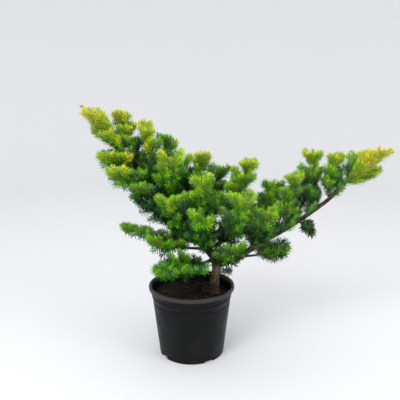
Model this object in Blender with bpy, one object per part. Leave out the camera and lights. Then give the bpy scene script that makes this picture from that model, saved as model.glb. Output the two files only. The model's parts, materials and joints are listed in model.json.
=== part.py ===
"""Potted golden Korean fir: a young spreading fir with two long arms, in a black nursery pot.

Metres, +Z up. The origin is the centre of the pot's flat underside, +X runs along the longer arm.
The trunk leaves the soil off centre, forks low down and leans left as the leader; one stout bough
goes right. Boughs leave those two, and each ends where it enters its mass of needles.
"""

import math

import bmesh
import bpy
import numpy as np

# Pot, a moulded five-litre container
POT_HEIGHT = 0.1843
POT_RIM_RADIUS = 0.1103
POT_BASE_RADIUS = 0.0836
POT_WALL = 0.0022
POT_FLOOR = 0.0035
RIM_DEPTH = 0.0095
RIM_OVERHANG = 0.0042
COLLAR_DEPTH = 0.0310
COLLAR_STEP = 0.0014
BASE_BEVEL = 0.0025
POT_SIDES = 36
SLOT_COUNT = 4
FIRST_SLOT_HEADING = 33
SLOT_WIDTH = 0.026
SLOT_HEIGHT = 0.010
SLOT_DEPTH = 0.007

# Soil, filled to this height above the ground
SOIL_TOP = 0.1550
SOIL_CRUMB = 0.004
SOIL_SIDES = 24

# Clearance between neighbouring solids
GAP = 0.0003

# Trunk: the line of its middle from the soil up to the foot of the leader
TRUNK_LINE = (
    (0.058, 0.0, 0.148),
    (0.060, 0.0, 0.200),
    (0.062, 0.0, 0.243),
    (0.030, 0.0, 0.294),
    (-0.026, 0.0, 0.365),
    (-0.094, 0.0, 0.447),
    (-0.164, 0.0, 0.528),
)
TRUNK_RADIUS = 0.0125
TRUNK_TIP_RADIUS = 0.0046
TRUNK_TAPER_POWER = 0.85
FLARE = 0.0050
FLARE_HEIGHT = 0.016
STEPS_PER_CORNER = 3

# The stout bough to the right, from the fork to the foot of its own leader
ARM_LINE = (
    (0.061, 0.0, 0.229),
    (0.086, 0.0, 0.243),
    (0.119, 0.0, 0.257),
    (0.180, 0.0, 0.297),
    (0.250, 0.0, 0.340),
    (0.335, 0.0, 0.4015),
    (0.381, 0.0, 0.449),
)
ARM_RADIUS = 0.0085
ARM_TIP_RADIUS = 0.0042
ARM_STEPS_PER_CORNER = 2

# Every other limb, one row each, with the mass of needles it ends in. Lengths in metres, angles in
# degrees: name, what carries it, how far along that, heading, rise at the root, reach from root to
# tip, bare length before the mass, length of the side shoots, whorls of side shoots, upward curl,
# seed of the mass. Heading 0 is +X and 90 is +Y. A limb with no bare length is all mass.
LIMBS = (
    ("leader_left", "trunk", 1.00, -178, 48, 0.146, 0.000, 0.060, 4, 0, 8),
    ("left_top", "trunk", 0.87, 168, 61, 0.151, 0.000, 0.046, 3, 14, 3),
    ("left_top_b", "trunk", 0.74, -153, 74, 0.162, 0.000, 0.046, 3, 14, 19),
    ("centre_left_top", "trunk", 0.62, 112, 71, 0.170, 0.000, 0.050, 3, 14, 14),
    ("centre_top", "trunk", 0.48, 17, 72, 0.180, 0.000, 0.052, 3, 10, 19),
    ("centre_top_right", "trunk", 0.40, 38, 55, 0.180, 0.000, 0.054, 3, 16, 1),
    ("right_top", "trunk", 0.30, -5, 57, 0.250, 0.080, 0.055, 4, 16, 37),
    ("right_mid_up", "arm", 0.35, 49, 65, 0.158, 0.025, 0.050, 3, 16, 33),
    ("right_mid_top", "arm", 0.51, -38, 74, 0.148, 0.022, 0.046, 3, 12, 25),
    ("right_yellow", "arm", 0.70, 64, 78, 0.158, 0.018, 0.042, 3, 12, 4),
    ("right_gold", "arm", 0.86, -52, 75, 0.111, 0.014, 0.038, 3, 12, 7),
    ("leader_right", "arm", 1.00, 0, 38, 0.123, 0.000, 0.070, 3, 0, 8),
    ("left_side", "trunk", 0.91, -153, 4, 0.081, 0.000, 0.046, 3, 14, 3),
    ("left_front", "trunk", 0.78, -140, 5, 0.114, 0.000, 0.052, 3, 14, 1),
    ("left_mid", "trunk", 0.62, -146, 17, 0.117, 0.000, 0.052, 3, 14, 29),
    ("left_low", "trunk", 0.46, -166, 20, 0.138, 0.000, 0.052, 3, 14, 28),
    ("left_twig", "trunk", 0.35, 177, 3, 0.201, 0.120, 0.030, 2, 10, 29),
    ("low_left", "trunk", 0.30, -163, 5, 0.154, 0.055, 0.052, 3, 14, 22),
    ("front_low", "trunk", 0.23, -138, -6, 0.181, 0.050, 0.056, 4, 14, 13),
    ("front_right_low", "trunk", 0.21, -67, 18, 0.135, 0.045, 0.050, 3, 16, 36),
    ("front_centre_low", "trunk", 0.30, -97, 30, 0.188, 0.055, 0.055, 3, 18, 19),
    ("front_centre_left", "trunk", 0.48, -111, 25, 0.155, 0.000, 0.055, 3, 18, 7),
    ("front_centre_top", "trunk", 0.66, -79, 41, 0.144, 0.000, 0.055, 3, 18, 1),
    ("front_centre", "trunk", 0.45, -76, 37, 0.194, 0.050, 0.055, 3, 18, 38),
    ("right_front", "trunk", 0.26, -59, 41, 0.217, 0.060, 0.055, 3, 18, 1),
    ("right_front_b", "arm", 0.25, -70, 41, 0.154, 0.035, 0.050, 3, 18, 4),
    ("right_low", "arm", 0.17, 11, 0, 0.120, 0.045, 0.046, 3, 6, 2),
    ("right_under", "arm", 0.62, -17, -29, 0.047, 0.012, 0.022, 2, -30, 2),
    ("trunk_shoot", "trunk", 0.15, 15, -12, 0.038, 0.000, 0.016, 2, 10, 11),
    ("back_left", "trunk", 0.79, 107, 8, 0.119, 0.000, 0.055, 3, 18, 38),
    ("back_top", "trunk", 0.61, 82, 24, 0.165, 0.000, 0.058, 3, 18, 29),
    ("back_centre", "trunk", 0.43, 68, 14, 0.184, 0.050, 0.058, 3, 18, 19),
    ("back_right", "trunk", 0.29, 45, 15, 0.211, 0.060, 0.056, 3, 18, 19),
    ("back_right_arm", "arm", 0.48, 52, 31, 0.140, 0.028, 0.048, 3, 16, 29),
    ("back_low", "trunk", 0.32, 115, -4, 0.157, 0.055, 0.056, 3, 14, 4),
)
LIMB_STEPS = 8
LIMB_RADIUS = 0.0022
LIMB_RADIUS_PER_REACH = 0.012
LIMB_TIP_RADIUS = 0.0013

# Side shoots: how they leave the stem of a mass, and the room they keep
FIRST_WHORL = 0.08
FIRST_WHORL_ON_TRUNK = 0.28
LAST_WHORL = 0.80
LAST_WHORL_OF_LEADER = 0.62
WHORL_SHIFT = 0.08
STEM_ENDS = (0.03, 0.93)
TOP_SHOOT_SHARE = 0.4
SHOOT_SPREAD = (40, 18)
SHOOT_ROLL = (60, 40)
TOP_SHOOT_ROLL = 50
SHOOT_CURL = 18
SHOOT_LENGTH_TAPER = (1.2, 0.6)
SHOOT_LENGTH_DRAW = (0.82, 0.33)
SHOOT_STEPS = 3
SHOOT_TRIES = (1.0, 0.8, 0.62, 0.45)
SHOOT_RADIUS = 0.0021
SHOOT_TIP_RADIUS = 0.0012
TESTED_SHARES = np.linspace(0.25, 1.0, 10)
SHOOT_ROOM = 0.0024
LIMB_ROOM = 0.0034
POT_CLEAR_RADIUS = 0.125
POT_CLEAR_HEIGHT = 0.200

# Needles: broad teeth that stand out of the core of a shoot. A mass whose needles don't join
# into one closed body is drawn again with the next, smaller share of them
CORE_SIDES = 3
CORE_TIP = 0.004
RING_STEP = 0.0155
NEEDLE_LENGTH = 0.0155
NEEDLE_LENGTH_DRAW = 0.2
NEEDLE_ANGLE = 57
NEEDLE_ANGLE_DRAW = 10
NEEDLE_SHARES = (0.80, 0.50, 0.25, 0.0)
NEEDLE_ROOM = 0.0015
NEEDLE_ROOM_TO_SHOOT = 0.0085
BARE_FOOT = 0.3
BARE_FOOT_ON_TRUNK = 0.15

# Needles are gold above the first height, lime above the second and deep green below it
GOLD_ABOVE = 0.52
LIME_ABOVE = 0.40


def linear(hex_colour):
    """An sRGB hex colour as linear RGBA."""
    parts = [int(hex_colour[i : i + 2], 16) / 255 for i in (1, 3, 5)]
    return [c / 12.92 if c <= 0.04045 else ((c + 0.055) / 1.055) ** 2.4 for c in parts] + [1.0]


def material(name, hex_colour, roughness):
    made = bpy.data.materials.new(name)
    made.use_nodes = True
    shader = made.node_tree.nodes["Principled BSDF"]
    shader.inputs["Base Color"].default_value = linear(hex_colour)
    shader.inputs["Roughness"].default_value = roughness
    shader.inputs["Metallic"].default_value = 0.0
    made.diffuse_color = linear(hex_colour)
    return made


def add_object(name, mesh, finish=None, collection=None):
    mesh.name = name
    made = bpy.data.objects.new(name, mesh)
    if finish:
        mesh.materials.clear()
        mesh.materials.append(finish)
    (collection or bpy.context.scene.collection).objects.link(made)
    return made


def heading_vector(heading, rise):
    a, e = math.radians(heading), math.radians(rise)
    return np.array([math.cos(a) * math.cos(e), math.sin(a) * math.cos(e), math.sin(e)])


def sweep(start, heading, rise, length, curl, steps):
    """Points along a limb that keeps its heading and curls upwards by curl degrees."""
    points = [np.array(start, float)]
    for i in range(steps):
        turned = rise + curl * (i + 0.5) / steps
        points.append(points[-1] + length / steps * heading_vector(heading, turned))
    return np.array(points)


def smooth_line(corners, steps):
    """A Catmull-Rom curve through the corners."""
    c = np.array(corners, float)
    c = np.vstack([2 * c[0] - c[1], c, 2 * c[-1] - c[-2]])
    points = []
    for i in range(1, len(c) - 2):
        for t in np.arange(steps) / steps:
            bend = 2 * c[i - 1] - 5 * c[i] + 4 * c[i + 1] - c[i + 2]
            twist = -c[i - 1] + 3 * c[i] - 3 * c[i + 1] + c[i + 2]
            ahead = c[i + 1] - c[i - 1]
            points.append(0.5 * (2 * c[i] + ahead * t + bend * t**2 + twist * t**3))
    points.append(c[-2])
    return np.array(points)


def along(line, share):
    """The point this share of the way along a line, and the line's direction there."""
    lengths = np.linalg.norm(np.diff(line, axis=0), axis=1)
    marks = np.concatenate([[0], np.cumsum(lengths)])
    far = share * marks[-1]
    i = min(int(np.searchsorted(marks, far, side="right")) - 1, len(lengths) - 1)
    direction = (line[i + 1] - line[i]) / lengths[i]
    return line[i] + direction * (far - marks[i]), direction


def ring_frames(line):
    """For each point of a line, its direction and two square axes that turn as little as they can."""
    ways = np.gradient(line, axis=0)
    ways /= np.linalg.norm(ways, axis=1)[:, None]
    start = np.array([0.0, 0.0, 1.0]) if abs(ways[0][2]) < 0.9 else np.array([1.0, 0.0, 0.0])
    frames = []
    across = start
    for way in ways:
        across = across - way * (across @ way)
        across /= np.linalg.norm(across)
        frames.append((way, across, np.cross(way, across)))
    return frames


def tube_mesh(name, line, radii, rounding):
    """A tapering limb with flat ends, as a curve with a round bevel turned into a mesh."""
    curve = bpy.data.curves.new(name, "CURVE")
    curve.dimensions = "3D"
    curve.bevel_depth = 1.0
    curve.bevel_resolution = rounding
    curve.use_fill_caps = True
    spline = curve.splines.new("POLY")
    spline.points.add(len(line) - 1)
    for point, place, radius in zip(spline.points, line, radii):
        point.co = (*place, 1.0)
        point.radius = radius
    drawn = bpy.data.objects.new(name, curve)
    bpy.context.scene.collection.objects.link(drawn)
    mesh = finished_mesh(drawn)
    bpy.data.objects.remove(drawn)
    shape = bmesh.new()
    shape.from_mesh(mesh)
    bmesh.ops.remove_doubles(shape, verts=shape.verts, dist=1e-6)
    bmesh.ops.recalc_face_normals(shape, faces=shape.faces)
    shape.to_mesh(mesh)
    shape.free()
    return mesh


def finished_mesh(drawn):
    """The object's mesh with its modifiers applied."""
    bpy.context.view_layer.update()
    graph = bpy.context.evaluated_depsgraph_get()
    return bpy.data.meshes.new_from_object(drawn.evaluated_get(graph))


def apply_boolean(drawn, operation, tool, solver="EXACT"):
    """Cuts or joins with one object or a collection, applies it and removes the tools."""
    cut = drawn.modifiers.new(operation.title(), "BOOLEAN")
    cut.operation = operation
    cut.solver = solver
    cut.use_self = operation == "UNION" and solver == "EXACT"
    if isinstance(tool, bpy.types.Collection):
        cut.operand_type = "COLLECTION"
        cut.collection = tool
    else:
        cut.object = tool
    mesh = finished_mesh(drawn)
    drawn.modifiers.clear()
    return mesh


def limb_radius(reach, distance):
    """A limb's radius at this distance from its root."""
    root = LIMB_RADIUS + LIMB_RADIUS_PER_REACH * reach
    return LIMB_TIP_RADIUS + (root - LIMB_TIP_RADIUS) * (1 - distance / reach)


# Pot

def pot_profile():
    """The wall's section as (radius, height), from the underside's middle out, up, over and down."""
    wall_top = POT_RIM_RADIUS - RIM_OVERHANG
    collar_foot = POT_HEIGHT - COLLAR_DEPTH
    taper = (wall_top - POT_BASE_RADIUS) / POT_HEIGHT

    def wall(height):
        return POT_BASE_RADIUS + taper * height

    rim_foot = POT_HEIGHT - RIM_DEPTH
    lip = RIM_DEPTH / 4
    return (
        (0.0, 0.0),
        (POT_BASE_RADIUS - BASE_BEVEL, 0.0),
        (wall(BASE_BEVEL), BASE_BEVEL),
        (wall(collar_foot) - COLLAR_STEP, collar_foot - COLLAR_STEP),
        (wall(collar_foot), collar_foot),
        (wall(rim_foot), rim_foot),
        (POT_RIM_RADIUS - lip / 2, rim_foot),
        (POT_RIM_RADIUS, rim_foot + lip),
        (POT_RIM_RADIUS, POT_HEIGHT - lip),
        (POT_RIM_RADIUS - lip, POT_HEIGHT),
        (wall_top - POT_WALL, POT_HEIGHT),
        (wall(rim_foot) - POT_WALL, rim_foot),
        (POT_BASE_RADIUS - POT_WALL, POT_FLOOR),
        (0.0, POT_FLOOR),
    )


def turned_mesh(name, profile, sides):
    """A section spun once round Z."""
    shape = bmesh.new()
    verts = [shape.verts.new((radius, 0.0, height)) for radius, height in profile]
    edges = [shape.edges.new(pair) for pair in zip(verts, verts[1:])]
    bmesh.ops.spin(
        shape, geom=verts + edges, cent=(0, 0, 0), axis=(0, 0, 1), angle=2 * math.pi,
        steps=sides, use_merge=True,
    )
    bmesh.ops.remove_doubles(shape, verts=shape.verts, dist=1e-6)
    bmesh.ops.recalc_face_normals(shape, faces=shape.faces)
    mesh = bpy.data.meshes.new(name)
    shape.to_mesh(mesh)
    shape.free()
    return mesh


def make_pot(plastic):
    """The wall with its rolled rim and collar, and the drain slots cut through the foot."""
    pot = add_object("pot", turned_mesh("pot", pot_profile(), POT_SIDES), plastic)
    slots = bpy.data.collections.new("drain slots")
    bpy.context.scene.collection.children.link(slots)
    for i in range(SLOT_COUNT):
        turn = math.radians(FIRST_SLOT_HEADING) + 2 * math.pi * i / SLOT_COUNT
        shape = bmesh.new()
        bmesh.ops.create_cube(shape, size=1.0)
        mesh = bpy.data.meshes.new("slot")
        shape.to_mesh(mesh)
        shape.free()
        slot = add_object("slot", mesh, collection=slots)
        slot.scale = (2 * SLOT_DEPTH, SLOT_WIDTH, 2 * SLOT_HEIGHT)
        slot.rotation_euler.z = turn
        slot.location = (POT_BASE_RADIUS * math.cos(turn), POT_BASE_RADIUS * math.sin(turn), 0.0)
    pot.data = apply_boolean(pot, "DIFFERENCE", slots)
    remove_collection(slots)
    pot.data.set_sharp_from_angle(angle=math.radians(35))
    return pot


def remove_collection(collection):
    for drawn in list(collection.objects):
        bpy.data.objects.remove(drawn)
    bpy.data.collections.remove(collection)


# Soil

def make_soil(earth):
    """A plug of potting soil that follows the inside of the wall."""
    taper = (POT_RIM_RADIUS - RIM_OVERHANG - POT_BASE_RADIUS) / POT_HEIGHT
    inside = POT_BASE_RADIUS - POT_WALL - 2 * GAP
    low = POT_FLOOR + GAP
    profile = (
        (0.0, low),
        (inside - 0.5 * SOIL_CRUMB, low),
        (inside + taper * (SOIL_TOP - SOIL_CRUMB), SOIL_TOP - SOIL_CRUMB),
        (inside + taper * SOIL_TOP - SOIL_CRUMB, SOIL_TOP),
        (0.0, SOIL_TOP),
    )
    return add_object("soil", turned_mesh("soil", profile, SOIL_SIDES), earth)


# Trunk and the stout bough

def trunk_radii(line):
    """Taper along the trunk, with the root flare at the soil."""
    marks = np.concatenate([[0], np.cumsum(np.linalg.norm(np.diff(line, axis=0), axis=1))])
    done = (marks / marks[-1]) ** TRUNK_TAPER_POWER
    taper = TRUNK_RADIUS + (TRUNK_TIP_RADIUS - TRUNK_RADIUS) * done
    above = np.maximum(line[:, 2] - SOIL_TOP, 0.0)
    return taper + FLARE * np.exp(-above / FLARE_HEIGHT)


def arm_radii(line):
    marks = np.concatenate([[0], np.cumsum(np.linalg.norm(np.diff(line, axis=0), axis=1))])
    return ARM_RADIUS + (ARM_TIP_RADIUS - ARM_RADIUS) * marks / marks[-1]


def cut_flat(mesh, height):
    """Takes off what lies below this height and closes the cut."""
    shape = bmesh.new()
    shape.from_mesh(mesh)
    geometry = shape.verts[:] + shape.edges[:] + shape.faces[:]
    cut = bmesh.ops.bisect_plane(
        shape, geom=geometry, plane_co=(0, 0, height), plane_no=(0, 0, -1), clear_outer=True
    )
    edges = [e for e in cut["geom_cut"] if isinstance(e, bmesh.types.BMEdge)]
    bmesh.ops.contextual_create(shape, geom=edges)
    bmesh.ops.recalc_face_normals(shape, faces=shape.faces)
    shape.to_mesh(mesh)
    shape.free()
    return mesh


def make_trunk(line, bark):
    mesh = tube_mesh("trunk", line, trunk_radii(line), 2)
    return add_object("trunk", cut_flat(mesh, SOIL_TOP + GAP), bark)


def seat_on(piece, carrier_line, carrier_radii):
    """Cuts a piece to sit on its carrier, clear of it all round and ahead of its tip."""
    grown = carrier_line.copy()
    ahead = grown[-1] - grown[-2]
    grown[-1] += ahead / np.linalg.norm(ahead) * GAP
    seat = add_object("seat", tube_mesh("seat", grown, carrier_radii + GAP, 2))
    piece.data = apply_boolean(piece, "DIFFERENCE", seat)
    bpy.data.objects.remove(seat)
    keep_outer_body(piece.data)


def make_limb(name, line, radii, rounding, carrier, bark):
    limb = add_object(name, tube_mesh(name, line, radii, rounding), bark)
    seat_on(limb, *carrier)
    limb.data.set_sharp_from_angle(angle=math.radians(40))
    return limb


# Growth: where each limb, stem and side shoot runs

def limb_lines(trunk_line, arm_line):
    """For each row, the bare bough's points and the points of the stem of its mass."""
    boughs, stems = {}, {}
    for name, carrier, place, heading, rise, reach, bare, side, whorls, curl, seed in LIMBS:
        root, way = along(trunk_line if carrier == "trunk" else arm_line, place)
        line = sweep(root, heading, rise, reach, curl, LIMB_STEPS)
        first = round(bare / reach * LIMB_STEPS) if bare else 0
        stem = line[first:].copy()
        if bare:
            boughs[name] = line[: first + 1]
        if bare:
            ahead = stem[1] - stem[0]
            stem[0] += ahead / np.linalg.norm(ahead) * GAP
        stems[name] = stem
    return boughs, stems


def distance_to_segments(p, starts, ends):
    spans = ends - starts
    share = np.einsum("ij,ij->i", p - starts, spans) / np.einsum("ij,ij->i", spans, spans)
    nearest = starts + np.clip(share, 0, 1)[:, None] * spans
    return np.linalg.norm(nearest - p, axis=1)


class Crown:
    """The room each mass has: nearer to its own stem than to any other, and clear of every limb."""

    def __init__(self, stems, limbs):
        self.names = list(stems)
        self.starts = np.vstack([stems[n][:-1] for n in self.names])
        self.ends = np.vstack([stems[n][1:] for n in self.names])
        self.owner = np.concatenate([[i] * (len(stems[n]) - 1) for i, n in enumerate(self.names)])
        self.limb_starts = np.vstack([line[:-1] for line, radii in limbs])
        self.limb_ends = np.vstack([line[1:] for line, radii in limbs])
        self.limb_radii = np.concatenate([np.maximum(r[:-1], r[1:]) for line, r in limbs])

    def inside(self, mass, p, room):
        """Whether a point keeps this room to the edge of the mass's own space."""
        distances = distance_to_segments(p, self.starts, self.ends)
        own = self.owner == self.names.index(mass)
        return distances[~own].min() - distances[own].min() > room

    def clear(self, p, room):
        """Whether a point keeps this room to every limb and to the pot."""
        limb = (distance_to_segments(p, self.limb_starts, self.limb_ends) - self.limb_radii).min()
        over_pot = p[2] < POT_CLEAR_HEIGHT and math.hypot(p[0], p[1]) < POT_CLEAR_RADIUS
        return limb > room and not over_pot


def side_axes(way):
    """The level direction across a stem and the one square to both."""
    across = np.cross(way, (0.0, 0.0, 1.0))
    if np.linalg.norm(across) < 1e-3:
        across = np.array([0.0, 1.0, 0.0])
    across /= np.linalg.norm(across)
    return across, np.cross(across, way)


def side_shoots(row, stem, crown):
    """Lines of the side shoots of one mass: whorls of a left, a right and sometimes a top one."""
    name, carrier, place, heading, rise, reach, bare, side, whorls, curl, seed = row
    draw = np.random.RandomState(seed)
    first = FIRST_WHORL if bare or place == 1.0 else FIRST_WHORL_ON_TRUNK
    last = LAST_WHORL_OF_LEADER if place == 1.0 else LAST_WHORL
    lines = []
    for whorl in range(whorls):
        share = first + (last - first) * whorl / max(whorls - 1, 1)
        for turn in (-1, 1, 0):
            skipped = draw.rand() < 1 - TOP_SHOOT_SHARE
            chance = draw.rand(5)
            if turn == 0 and skipped:
                continue
            shifted = share + (chance[0] - 0.5) * WHORL_SHIFT
            root, way = along(stem, min(max(shifted, STEM_ENDS[0]), STEM_ENDS[1]))
            across, up = side_axes(way)
            if turn:
                roll = turn * (SHOOT_ROLL[0] + SHOOT_ROLL[1] * chance[1])
            else:
                roll = TOP_SHOOT_ROLL * (chance[1] - 0.5)
            spread = math.radians(SHOOT_SPREAD[0] + SHOOT_SPREAD[1] * chance[2])
            outward = math.cos(math.radians(roll)) * up + math.sin(math.radians(roll)) * across
            aim = math.cos(spread) * way + math.sin(spread) * outward
            length = side * (SHOOT_LENGTH_TAPER[0] - SHOOT_LENGTH_TAPER[1] * share)
            length *= SHOOT_LENGTH_DRAW[0] + SHOOT_LENGTH_DRAW[1] * chance[3]
            shoot_heading = math.degrees(math.atan2(aim[1], aim[0]))
            shoot_rise = math.degrees(math.asin(aim[2]))
            for part in SHOOT_TRIES:
                line = sweep(root, shoot_heading, shoot_rise, length * part, SHOOT_CURL, SHOOT_STEPS)
                if shoot_fits(line, name, crown):
                    lines.append(line)
                    break
    return lines


def shoot_fits(line, mass, crown):
    """Whether a shoot stays in its mass's space and, from just past its root, clear of the limbs."""
    if not all(crown.inside(mass, p, SHOOT_ROOM) for p in line[1:]):
        return False
    return all(crown.clear(along(line, share)[0], LIMB_ROOM) for share in TESTED_SHARES)


# Needles

def core_mesh(middle, girth, frames):
    """Points of a slim three-sided core, its plain faces, and the facets that may carry a needle.

    The rings turn by half a facet each, so that the needles of one ring stand between the next's.
    """
    rings = len(middle) - 1
    verts = []
    for k in range(rings):
        way, across, up = frames[k]
        for j in range(CORE_SIDES):
            turn = 2 * math.pi * (j + 0.5 * max(k - 1, 0)) / CORE_SIDES
            verts.append(middle[k] + girth[k] * (math.cos(turn) * across + math.sin(turn) * up))
    verts.append(middle[rings] + frames[rings][0] * CORE_TIP)
    plain = [tuple(reversed(range(CORE_SIDES)))]
    facets = []
    for k in range(rings):
        for j in range(CORE_SIDES):
            a, b = CORE_SIDES * k + j, CORE_SIDES * k + (j + 1) % CORE_SIDES
            c, d = a + CORE_SIDES, b + CORE_SIDES
            if k == rings - 1:
                facets.append((a, b, len(verts) - 1))
            elif k == 0:
                plain.append((a, b, d, c))
            else:
                facets += [(a, b, c), (b, d, c)]
    return verts, plain, facets


def shoot_mesh(name, mass, line, radii, crown, bare_share, others, needle_share, seed):
    """A shoot whose facets rise into needles past its bare foot, where the mass has room for them."""
    starts = np.vstack([other[:-1] for other in others])
    ends = np.vstack([other[1:] for other in others])
    draw = np.random.RandomState(seed)
    length = np.linalg.norm(np.diff(line, axis=0), axis=1).sum()
    shares = np.linspace(0, 1, max(2, round(length / RING_STEP)) + 1)
    middle = np.array([along(line, share)[0] for share in shares])
    frames = ring_frames(middle)
    verts, faces, facets = core_mesh(middle, np.interp(shares, np.linspace(0, 1, len(radii)), radii), frames)
    for facet in facets:
        centre = sum(verts[v] for v in facet) / 3
        nearest = int(np.argmin(np.linalg.norm(middle - centre, axis=1)))
        wanted = draw.rand() < needle_share and shares[nearest] > bare_share
        point = needle_point(verts, facet, centre, frames[nearest][0], draw.rand(2))
        if wanted and needle_fits(point, centre, mass, crown, starts, ends):
            verts.append(point)
            faces += [(facet[i], facet[(i + 1) % 3], len(verts) - 1) for i in range(3)]
        else:
            faces.append(facet)
    made = bpy.data.meshes.new(name)
    made.from_pydata([tuple(v) for v in verts], [], faces)
    made.validate()
    return made


def needle_point(verts, facet, centre, way, chance):
    """The tip of the needle on this facet: out and forwards."""
    out = np.cross(verts[facet[1]] - verts[facet[0]], verts[facet[2]] - verts[facet[0]])
    out -= way * (out @ way)
    out /= np.linalg.norm(out)
    angle = math.radians(NEEDLE_ANGLE + NEEDLE_ANGLE_DRAW * (chance[0] - 0.5))
    length = NEEDLE_LENGTH * (1 + NEEDLE_LENGTH_DRAW * (chance[1] - 0.5))
    return centre + length * (math.sin(angle) * out + math.cos(angle) * way)


def needle_fits(point, centre, mass, crown, starts, ends):
    """Whether a needle keeps its room to its mass's edge, the limbs and the mass's other shoots."""
    if not crown.inside(mass, point, NEEDLE_ROOM):
        return False
    for p in ((point + centre) / 2, point):
        if not crown.clear(p, NEEDLE_ROOM):
            return False
        if distance_to_segments(p, starts, ends).min() < NEEDLE_ROOM_TO_SHOOT:
            return False
    return True


def keep_outer_body(mesh):
    """Keeps the largest closed shell: drops scraps, and fills any hollow sealed by joining."""
    shape = bmesh.new()
    shape.from_mesh(mesh)
    bmesh.ops.remove_doubles(shape, verts=shape.verts, dist=1e-6)
    bmesh.ops.triangulate(shape, faces=shape.faces)
    left = set(shape.faces)
    shells = []
    while left:
        todo = [left.pop()]
        shell = []
        while todo:
            face = todo.pop()
            shell.append(face)
            for edge in face.edges:
                for other in edge.link_faces:
                    if other in left:
                        left.remove(other)
                        todo.append(other)
        size = sum(f.verts[0].co.cross(f.verts[1].co).dot(f.verts[2].co) for f in shell)
        shells.append((size, shell))
    shells.sort(key=lambda item: item[0])
    for size, shell in shells[:-1]:
        bmesh.ops.delete(shape, geom=shell, context="FACES")
    closed = all(len(edge.link_faces) == 2 for edge in shape.edges)
    shape.to_mesh(mesh)
    shape.free()
    return closed


def joined_mass(node, row, stem, lines, crown, green, needle_share):
    """The stem with every side shoot joined on by one union on a collection, if it comes out closed."""
    name, carried_by, place, heading, rise, reach, bare, side, whorls, curl, seed = row
    ringed = bare or place == 1.0
    from_root = LIMB_STEPS - len(stem) + 1
    radii = [limb_radius(reach, reach * (from_root + i) / LIMB_STEPS) for i in range(len(stem))]
    foot = 0.0 if ringed else BARE_FOOT_ON_TRUNK
    core = shoot_mesh(node, name, stem, radii, crown, foot, lines, needle_share, seed)
    mass = add_object(node, core, green)
    shoots = bpy.data.collections.new(node + " shoots")
    bpy.context.scene.collection.children.link(shoots)
    for i, line in enumerate(lines):
        radii = np.linspace(SHOOT_RADIUS, SHOOT_TIP_RADIUS, len(line))
        others = [stem] + lines[:i] + lines[i + 1 :]
        draw = seed * 100 + i + 1
        mesh = shoot_mesh("shoot", name, line, radii, crown, BARE_FOOT, others, needle_share, draw)
        add_object("shoot", mesh, collection=shoots)
    for solver in ("EXACT", "MANIFOLD"):
        joined = apply_boolean(mass, "UNION", shoots, solver)
        closed = keep_outer_body(joined)
        if closed:
            mass.data = joined
            break
    remove_collection(shoots)
    if not closed:
        bpy.data.objects.remove(mass)
        return None
    return mass


def make_mass(row, stem, crown, carrier, green):
    """One mass of needles. A mass that starts at the trunk or the stout bough is cut to sit on it."""
    node = "needles_" + row[0]
    lines = side_shoots(row, stem, crown)
    for needle_share in NEEDLE_SHARES:
        mass = joined_mass(node, row, stem, lines, crown, green, needle_share)
        if mass:
            break
    bare = row[6]
    if not bare:
        seat_on(mass, *carrier)
    mass.data.materials.clear()
    mass.data.materials.append(green)
    return mass


def main():
    for drawn in list(bpy.data.objects):
        bpy.data.objects.remove(drawn)
    plastic = material("black moulded polypropylene", "#1d1e20", 0.55)
    earth = material("damp potting soil", "#2e231a", 0.95)
    bark = material("grey-brown bark", "#5b4a3a", 0.85)
    greens = (
        material("gold-tipped needles", "#a4b52a", 0.5),
        material("lime needles", "#6fae22", 0.5),
        material("deep green needles", "#2f6b2c", 0.5),
    )

    make_pot(plastic)
    make_soil(earth)

    trunk_line = smooth_line(TRUNK_LINE, STEPS_PER_CORNER)
    arm_line = smooth_line(ARM_LINE, ARM_STEPS_PER_CORNER)
    carriers = {
        "trunk": (trunk_line, trunk_radii(trunk_line)),
        "arm": (arm_line, arm_radii(arm_line)),
    }
    make_trunk(trunk_line, bark)
    make_limb("bough_right", *carriers["arm"], 2, carriers["trunk"], bark)

    boughs, stems = limb_lines(trunk_line, arm_line)
    limbs = list(carriers.values())
    for row in LIMBS:
        name, carrier, reach = row[0], row[1], row[5]
        if name not in boughs:
            continue
        line = boughs[name]
        radii = np.array([limb_radius(reach, reach * i / LIMB_STEPS) for i in range(len(line))])
        make_limb("bough_" + name, line, radii, 1, carriers[carrier], bark)
        limbs.append((line, radii))

    crown = Crown(stems, limbs)
    for row in LIMBS:
        height = stems[row[0]][-1][2]
        green = greens[0] if height > GOLD_ABOVE else greens[1] if height > LIME_ABOVE else greens[2]
        make_mass(row, stems[row[0]], crown, carriers[row[1]], green)


main()
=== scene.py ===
"""Looks of the potted golden Korean fir: a young fir with two long arms in a black nursery pot.

Metres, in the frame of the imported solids: the origin is the middle of the pot's underside, +Z up,
+X along the longer arm. The growth rule is the source's own, carried on to finer twigs and needles.
"""

import json
import math
from collections import namedtuple

import bmesh
import bpy
import numpy as np
from mathutils import Matrix, Vector, noise

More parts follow.
